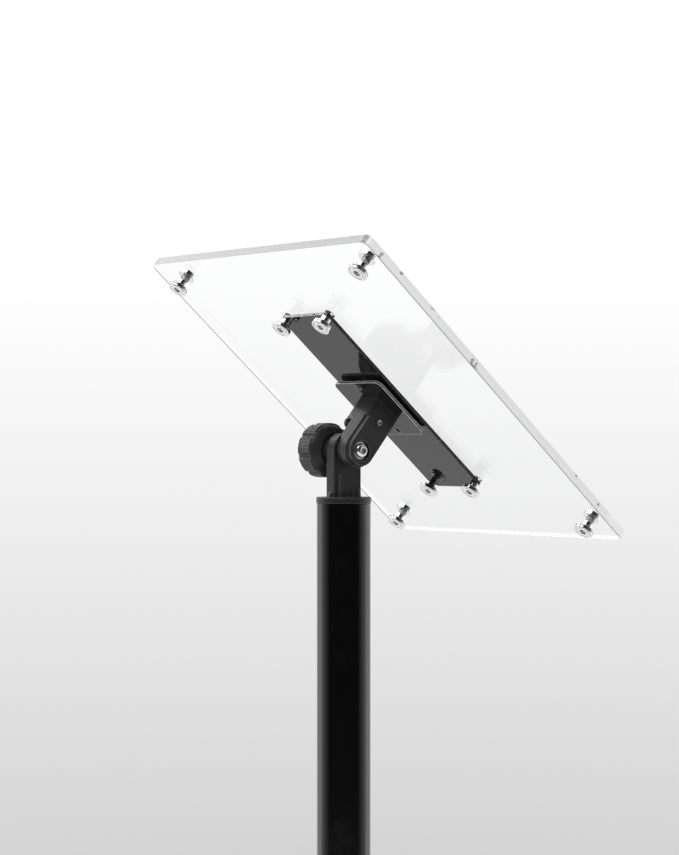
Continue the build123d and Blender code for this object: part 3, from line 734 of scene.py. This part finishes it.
class STAND_OT_build_base(Operator):
    """Build the weighted base, its collar, rubber ring, bolt and washer"""

    bl_idname = "stand.build_base"
    bl_label = "Build Base"

    def execute(self, context):
        sizes = context.scene.stand_sizes
        bore, outer, low, top = measured_round("base_plate", POLE_PLACE)
        groove_inner, groove_outer, _, groove_top = measured_round("base_ring", POLE_PLACE)
        hub_radius, hub_edge, hub_step = 46, 0.8, 0.02
        recess_radius, recess_top = 15.5, low + 6
        rim_round, rim_top, rim_steps = 1.6, low + 5, 5
        rim_centre = outer - rim_round
        # Crown as a shallow arc from the rim up to the hub
        crown, crown_steps, crown_rings = 1.2, 12, []
        start, end = Vector((rim_centre, rim_top)), Vector((hub_radius, top))
        for step in range(1, crown_steps):
            share = step / crown_steps
            along = start.lerp(end, share)
            crown_rings.append((along.x, along.y + crown * 4 * share * (1 - share)))
        rings = [
            (bore, top), (bore, recess_top), (recess_radius, recess_top), (recess_radius, low),
            (groove_inner, low), (groove_inner, groove_top), (groove_outer, groove_top),
            (groove_outer, low),
            *arc_rings(rim_centre, low + rim_round, rim_round, -90, 0, rim_steps),
            *arc_rings(rim_centre, rim_top - rim_round, rim_round, 0, 90, rim_steps),
            *crown_rings, (hub_radius, top - hub_step), (hub_radius - hub_edge, top),
        ]
        turned_piece("base_plate", rings, [POLE_PLACE], ease=0, segments=256, closed=True)
        ring_piece("base_ring", POLE_PLACE, sizes.rubber_ease, segments=192)
        ring_piece("base_washer", POLE_PLACE, sizes.fastener_ease)
        eased("base_collar", sizes.moulded_ease)
        eased("base_bolt", sizes.fastener_ease)
        return {"FINISHED"}


class STAND_OT_build_head(Operator):
    """Build the moulded head and the bolt stack through its ear"""

    bl_idname = "stand.build_head"
    bl_label = "Build Head"

    def execute(self, context):
        sizes = context.scene.stand_sizes
        ease = sizes.fastener_ease
        head_ease, washer_ease, dome_ease = sizes.moulded_ease * 0.8, ease * 3, ease * 0.6
        eased("head_body", head_ease)
        dress("head_screw", "head_washer")
        satin = [material_of("satin_chrome")]
        ring_piece("tilt_washer", BOLT_PLACE, washer_ease, materials=satin)
        for node in ("friction_washer", "knob_washer"):
            ring_piece(node, BOLT_PLACE, ease)
        _, _, face, tip = measured_round("tilt_bolt", BOLT_PLACE)
        head_radius, bearing, shank, tip_ease = 5.25, face + 3.3, 3.0, 0.6
        # Radius and distance from the face, from the socket's mouth over the dome
        dome = (
            (2.5, 0), (3.0, 0.03), (3.7, 0.34), (4.3, 0.85), (4.8, 1.55), (5.1, 2.3), (5.23, 2.95),
        )
        rings = [
            *hex_socket(2.1, face, depth=2.0, lead=0.2),
            *[(radius, face + distance) for radius, distance in dome],
            (head_radius, bearing), (shank, bearing), (shank, tip - tip_ease),
            (shank - tip_ease, tip),
        ]
        turned_piece("tilt_bolt", rings, [BOLT_PLACE], dome_ease, segments=96, materials=satin)
        return {"FINISHED"}


class STAND_OT_build_knob(Operator):
    """Build the clamp knob with its lobes and fine grip ribs"""

    bl_idname = "stand.build_knob"
    bl_label = "Build Knob"

    def execute(self, context):
        sizes = context.scene.stand_sizes
        _, outer, hub, face = measured_round("clamp_knob", BOLT_PLACE)
        lobes, turned_by = sizes.knob_lobes, radians(33)
        groove_radius, groove_centre, blend = 2.1, outer + 0.5, 0.5
        rib_depth = sizes.knob_rib_depth / MM

        def lobed(depth):
            """Outline with grooves between the lobes, and ribs of a share of their full depth."""

            def outline(angle, radius):
                step = 2 * pi / lobes
                place = (angle - turned_by + step / 2) % step - step / 2
                wave = 0.5 + 0.5 * cos(place * lobes * sizes.knob_ribs)
                crest = radius - depth * rib_depth * wave
                across = groove_centre * sin(place)
                if abs(across) >= groove_radius:
                    groove = crest + blend
                else:
                    groove = groove_centre * cos(place) - sqrt(groove_radius ** 2 - across ** 2)
                overlap = max(blend - abs(crest - groove), 0) / blend
                return min(crest, groove) - overlap ** 2 * blend / 4

            return outline

        smooth, ribbed = lobed(0), lobed(1)
        insert, insert_end, bolt_hole, hole_end = 5.0, hub + 18, 3.06, hub + 1
        collar, collar_ease, foot = 9.5, 0.3, hub + 0.02
        cone, cone_radius, cone_step, cone_steps, roundness = hub + 4.6, 13, 0.3, 8, 0.65
        waist, rim, grip, grip_steps = outer - 1.2, hub + 9.6, hub + 10.6, 8
        shoulder_round, shoulder = 2.0, face - 2.0
        dish, dish_floor = 12.5, face - 1.2
        cone_rings = []
        for step in range(cone_steps + 1):
            share = step / cone_steps
            flare = (1 - roundness) * share + roundness * sin(share * pi / 2)
            radius = cone_radius + (waist - cone_radius) * flare
            cone_rings.append((radius, cone + (rim - cone) * share))
        grip_heights = [
            grip + (shoulder - grip) * step / grip_steps for step in range(grip_steps + 1)
        ]
        rings = [
            # Through the insert's bore and the bolt's hole to the collar, and up the cone
            (insert, insert_end), (insert, hole_end), (bolt_hole, hole_end), (bolt_hole, foot),
            (collar - collar_ease, foot), (collar, hub + collar_ease), (collar, cone),
            (cone_radius - cone_step, cone), *cone_rings,
            # Over the lobed grip to the dish in the outer face
            (waist + 0.35, rim + 0.02), (outer - 0.25, rim + 0.12, smooth),
            (outer, rim + 0.5, smooth),
            *[(outer, height, ribbed) for height in grip_heights],
            *arc_rings(outer - shoulder_round, shoulder, shoulder_round, 18, 90, 5, smooth),
            (dish + 0.4, face), (dish, face - 0.35), (dish, dish_floor), (dish - 0.3, dish_floor),
        ]
        turned_piece("clamp_knob", rings, [BOLT_PLACE], ease=0, segments=640)
        dress("knob_insert")
        return {"FINISHED"}


class STAND_OT_build_arm(Operator):
    """Build the tilt arm, its cross screw and its dome nut"""

    bl_idname = "stand.build_arm"
    bl_label = "Build Arm"

    def execute(self, context):
        sizes = context.scene.stand_sizes
        eased("tilt_arm", sizes.moulded_ease)
        low, high = measured("arm_screw", BOLT_PLACE)
        centre = (low + high) / 2
        cross_place = BOLT_PLACE @ Matrix.Translation((centre.x, centre.y, 0))
        face, end = low.z / MM, high.z / MM
        shank, face_ease, end_ease = 2.0, 0.25, 0.3
        rings = [
            *hex_socket(1.0, face, depth=1.6, lead=0.15), (1.3, face), (shank - face_ease, face),
            (shank, face + face_ease), (shank, end - end_ease), (shank - end_ease, end),
        ]
        turned_piece("arm_screw", rings, [cross_place], ease=0, segments=60)
        low, high = measured("arm_nut", BOLT_PLACE)
        radius = (high.x - low.x) / 2 / MM
        seat, skirt, crest = low.z / MM, high.z / MM - radius, high.z / MM
        thread, thread_depth, seat_ease = 2.1, 6.1, 0.3
        rings = [
            (thread, seat + thread_depth), (thread, seat), (radius - seat_ease, seat),
            (radius, seat + seat_ease), *arc_rings(0, skirt, radius, 0, 87, 12), (0.05, crest),
        ]
        turned_piece("arm_nut", rings, [cross_place], ease=0, segments=72)
        return {"FINISHED"}


class STAND_OT_build_bar(Operator):
    """Build the glossy plate and bar, and the swivel between them"""

    bl_idname = "stand.build_bar"
    bl_label = "Build Plate and Bar"

    def execute(self, context):
        sizes = context.scene.stand_sizes
        eased("mounting_plate", sizes.plate_ease, [material_of("gloss_black_plate")])
        eased("back_bar", sizes.plate_ease)
        eased("plate_screws", 0)
        eased("swivel_screw", 0)
        ring_piece("swivel_washer", SIGN_PLACE, sizes.moulded_ease)
        ring_piece("swivel_nut_washer", SIGN_PLACE, sizes.fastener_ease)
        eased("swivel_nut", sizes.fastener_ease)
        return {"FINISHED"}


class STAND_OT_build_sheets(Operator):
    """Build the two clear sheets with polished edges"""

    bl_idname = "stand.build_sheets"
    bl_label = "Build Sheets"

    def execute(self, context):
        sizes = context.scene.stand_sizes
        materials = [material_of("clear_acrylic"), material_of("clear_acrylic_rim")]
        for node in ("rear_sheet", "front_sheet"):
            bm = merged_copy(node)
            low, high = measured(node, SIGN_PLACE)
            middle = (low.z + high.z) / 2
            # Both broad faces step in by the gap
            for vertex in bm.verts:
                level = (vertex.co - SIGN_CENTRE).dot(SIGN_OUT)
                side = 1 if level < middle else -1
                vertex.co += SIGN_OUT * side * sizes.sheet_gap
            for face in bm.faces:
                broad = abs(face.normal.dot(SIGN_OUT)) > 0.5
                face.material_index = 0 if broad else 1
            piece = add_piece(node, bm, sizes.sheet_ease, materials)
            # Light passes through the sheets to what is behind them
            piece.visible_shadow = False
        return {"FINISHED"}


class STAND_OT_build_fasteners(Operator):
    """Build the chrome knobs, caps and screws of the sign"""

    bl_idname = "stand.build_fasteners"
    bl_label = "Build Fasteners"

    def execute(self, context):
        ease = context.scene.stand_sizes.fastener_ease
        neck, neck_length, neck_fillet, neck_ease = 3.75, 4.7, 0.25, 0.15
        disc, disc_height, disc_chamfer = 7.0, 3.5, 0.8
        face_groove, rim_groove = 0.3, 0.7
        back = -(neck_length + disc_height)
        disc_rings = [
            # Socket and ring groove in the disc's face
            *hex_socket(2.2, back, depth=2.2, lead=0.2), (2.5, back), (4.7, back),
            (5.0, back + face_groove), (5.45, back + face_groove), (5.75, back),
            # Rounded edge, groove round the rim, chamfer and neck
            (disc - 0.45, back), (disc - 0.12, back + 0.12), (disc, back + 0.45),
            (disc, back + 1.5), (disc - rim_groove, back + 1.5), (disc - rim_groove, back + 2.0),
            (disc, back + 2.0), (disc, -neck_length - disc_chamfer),
            (disc - disc_chamfer, -neck_length),
            (neck + neck_fillet, -neck_length), (neck, -neck_length + neck_fillet),
            (neck, -neck_ease), (neck - neck_ease, 0),
        ]
        thickness = (SIGN_FRONT - SHEET_LOW.z) / MM
        screw, screw_ease, thread, thread_depth = 2.0, 0.3, 2.1, 4.3
        screw_rings = [
            (screw, 0), (screw, thickness - screw_ease), (screw - screw_ease, thickness),
        ]
        thread_rings = [(thread, 0), (thread, -thread_depth)]
        # Bore and outside of the barrel through the sheets, then the cap with its low step
        barrel, cap, cap_ease, cap_height, bore_end = 2.9, 6.1, 0.15, 3.4, 0.1
        cap_rings = [
            (thread, bore_end), (thread, bore_end - thickness), (barrel, bore_end - thickness),
            (barrel, 0), (cap - cap_ease, 0), (cap, cap_ease), (cap, cap_height - 0.45),
            (cap - 0.12, cap_height - 0.15), (cap - 0.45, cap_height), (4.6, cap_height),
            (4.4, cap_height - 0.1), (0.05, cap_height - 0.04),
        ]
        for node, rings, pitch, level in (
            ("corner_knobs", disc_rings + screw_rings, CORNER_PITCH, SHEET_LOW.z),
            ("bar_knobs", disc_rings + thread_rings, BAR_PITCH, BAR_BACK),
            ("corner_caps", cap_rings, CORNER_PITCH, SIGN_FRONT),
        ):
            turned_piece(node, rings, grid(pitch, level), ease, segments=96)
        eased("bar_screws", 0)
        return {"FINISHED"}


class STAND_OT_build_stage(Operator):
    """Build the floor, the backdrop light, the lamps and the camera"""

    bl_idname = "stand.build_stage"
    bl_label = "Build Stage"

    def execute(self, context):
        studio = context.scene.stand_studio
        azimuth = studio.camera_azimuth
        look = Vector((-sin(azimuth), cos(azimuth), 0))
        right = look.cross(Vector((0, 0, 1)))
        self.add_camera(context, studio, look, right)
        self.add_floor(context, studio)
        self.add_world(context, studio, look)
        middle = Vector((0, 0, 0.75))
        # Target of each lamp, steps to the right of it, beyond it and above it, then size and power
        lamps = {
            "Key light": (middle, -0.9, -0.7, 1.9, (1.6, 1.6), studio.key_power),
            "Left light": (PIVOT, -1.5, 0.75, 0, (0.5, 1.5), studio.side_power),
            "Right light": (PIVOT, 1.5, 0.75, 0, (0.5, 1.5), studio.side_power),
            "Edge light": (PIVOT, -0.92, 0.86, 1, (0.5, 1.0), studio.edge_power),
        }
        for name, (target, aside, beyond, above, size, power) in lamps.items():
            place = target + look * beyond + right * aside + Vector((0, 0, above))
            self.add_lamp(context, name, place, target, size, power)
        context.scene.view_settings.view_transform = "Standard"
        return {"FINISHED"}

    def add_camera(self, context, studio, look, right):
        """Camera at the photograph's viewing angle."""
        data = bpy.data.cameras.new("Camera")
        data.lens = studio.camera_lens
        data.sensor_width = 36
        data.shift_y = studio.camera_shift
        data.clip_end = 50
        camera = bpy.data.objects.new("Camera", data)
        camera.location = PIVOT - look * studio.camera_distance + right * studio.camera_aside
        camera.location.z += studio.camera_rise
        camera.rotation_euler = look.to_track_quat("-Z", "Y").to_euler()
        context.scene.collection.objects.link(camera)
        context.scene.camera = camera

    def add_floor(self, context, studio):
        """Round floor that takes the stand's shadow and fades into the backdrop."""
        bm = bmesh.new()
        bmesh.ops.create_circle(bm, cap_ends=True, radius=studio.floor_radius, segments=96)
        mesh = bpy.data.meshes.new("Floor")
        bm.to_mesh(mesh)
        bm.free()
        floor = bpy.data.objects.new("Floor", mesh)
        context.scene.collection.objects.link(floor)
        colour = tuple(studio.floor_colour)
        values = {"Roughness": 0.9, "Specular IOR Level": 0.1}
        material, tree, shader = new_material("Floor", colour, values)
        patches = add_noise(tree, object_vector(tree), scale=6.0, detail=3.0)
        toned = add_mix(tree, patches, shade(colour, 0.985), colour)
        tree.links.new(toned, shader.inputs["Base Color"])
        inputs = {0: object_vector(tree)}
        reach = add_node(tree, "ShaderNodeVectorMath", inputs, operation="LENGTH").outputs["Value"]
        fade_start, fade_end = 0.5, studio.floor_radius * 0.85
        fade = add_range(tree, reach, fade_start, fade_end)
        # Metal and clear pieces reflect the floor as pale as the backdrop
        glossy_ray = tree.nodes.new("ShaderNodeLightPath").outputs["Is Glossy Ray"]
        mirrored = add_math(tree, "MULTIPLY", glossy_ray, 0.6)
        low, high = tuple(studio.backdrop_low), tuple(studio.backdrop_high)
        glow = add_node(tree, "ShaderNodeEmission", {"Color": add_mix(tree, glossy_ray, low, high)})
        share = add_math(tree, "MAXIMUM", fade, mirrored)
        inputs = {0: share, 1: shader.outputs["BSDF"], 2: glow.outputs["Emission"]}
        blend = add_node(tree, "ShaderNodeMixShader", inputs)
        tree.links.new(blend.outputs["Shader"], tree.nodes["Material Output"].inputs["Surface"])
        mesh.materials.append(material)

    def add_world(self, context, studio, look):
        """Pale backdrop to see, a dark side and a dark gap to reflect, and ambient light."""
        world = bpy.data.worlds.new("Studio")
        world.use_nodes = True
        context.scene.world = world
        tree = world.node_tree
        direction = tree.nodes.new("ShaderNodeTexCoord").outputs["Generated"]
        rise = add_node(tree, "ShaderNodeSeparateXYZ", {"Vector": direction}).outputs["Z"]
        towards_camera = add_dot(tree, direction, -look)
        # Where each change starts and ends, by how far a ray goes up or towards the camera
        backdrop_change, dark_side_change = (-0.19, 0.07), (-0.2, 0.42)
        gap_start, gap_end = (0.2, 0.26), (0.42, 0.5)
        low, high = tuple(studio.backdrop_low), tuple(studio.backdrop_high)
        backdrop = add_mix(tree, add_range(tree, rise, *backdrop_change), low, high)
        dark_side = add_range(tree, towards_camera, *dark_side_change)
        above_start = add_range(tree, rise, *gap_start)
        below_end = add_range(tree, rise, *gap_end, 1.0, 0.0)
        gap = add_math(tree, "MULTIPLY", above_start, below_end)
        darkness = add_math(tree, "MAXIMUM", dark_side, gap)
        reflected = add_mix(tree, darkness, high, tuple(studio.dark_colour))
        rays = tree.nodes.new("ShaderNodeLightPath")
        ambient = (studio.ambient,) * 3
        shown = add_mix(tree, rays.outputs["Is Glossy Ray"], ambient, reflected)
        # Seen through the sheets the backdrop is pale, but what metal reflects through them isn't
        after_metal = add_math(tree, "GREATER_THAN", rays.outputs["Glossy Depth"], 0.5)
        mirrored = add_math(tree, "MULTIPLY", rays.outputs["Is Transmission Ray"], after_metal)
        through = add_math(tree, "SUBTRACT", rays.outputs["Is Transmission Ray"], mirrored)
        seen = add_math(tree, "MAXIMUM", rays.outputs["Is Camera Ray"], through)
        shown = add_mix(tree, mirrored, shown, reflected)
        shown = add_mix(tree, seen, shown, backdrop)
        tree.links.new(shown, tree.nodes["Background"].inputs["Color"])

    def add_lamp(self, context, name, place, target, size, power):
        """Rectangular lamp turned towards a target."""
        data = bpy.data.lights.new(name, "AREA")
        data.shape = "RECTANGLE"
        data.size, data.size_y = size
        data.energy = power
        lamp = bpy.data.objects.new(name, data)
        lamp.location = place
        lamp.visible_camera = False
        lamp.rotation_euler = (target - place).to_track_quat("-Z", "Y").to_euler()
        context.scene.collection.objects.link(lamp)


class STAND_PT_panel(Panel):
    """Sidebar panel of the sign stand."""

    bl_label = "Sign Stand"
    bl_idname = "STAND_PT_panel"
    bl_space_type = "VIEW_3D"
    bl_region_type = "UI"
    bl_category = "Sign Stand"

    def draw(self, context):
        layout = self.layout
        for operator in OPERATORS:
            layout.operator(operator.bl_idname)
        for title, group in (
            ("Finish Sizes", context.scene.stand_sizes),
            ("Colours", context.scene.stand_colours),
            ("Studio", context.scene.stand_studio),
        ):
            box = layout.box()
            box.label(text=title)
            for label in group.__annotations__:
                box.prop(group, label)


OPERATORS = (
    STAND_OT_build_pole,
    STAND_OT_build_base,
    STAND_OT_build_head,
    STAND_OT_build_knob,
    STAND_OT_build_arm,
    STAND_OT_build_bar,
    STAND_OT_build_sheets,
    STAND_OT_build_fasteners,
    STAND_OT_build_stage,
)
CLASSES = (StandSizes, StandColours, StudioSettings, *OPERATORS, STAND_PT_panel)


def register():
    """Register the classes and their settings on the scene."""
    for item in CLASSES:
        bpy.utils.register_class(item)
    bpy.types.Scene.stand_sizes = PointerProperty(type=StandSizes)
    bpy.types.Scene.stand_colours = PointerProperty(type=StandColours)
    bpy.types.Scene.stand_studio = PointerProperty(type=StudioSettings)


def unregister():
    """Remove the settings and the classes."""
    del bpy.types.Scene.stand_studio
    del bpy.types.Scene.stand_colours
    del bpy.types.Scene.stand_sizes
    for item in reversed(CLASSES):
        bpy.utils.unregister_class(item)


def main():
    """Build every piece and the stage."""
    register()
    bpy.ops.stand.build_pole()
    bpy.ops.stand.build_base()
    bpy.ops.stand.build_head()
    bpy.ops.stand.build_knob()
    bpy.ops.stand.build_arm()
    bpy.ops.stand.build_bar()
    bpy.ops.stand.build_sheets()
    bpy.ops.stand.build_fasteners()
    bpy.ops.stand.build_stage()


if __name__ == "__main__":
    main()
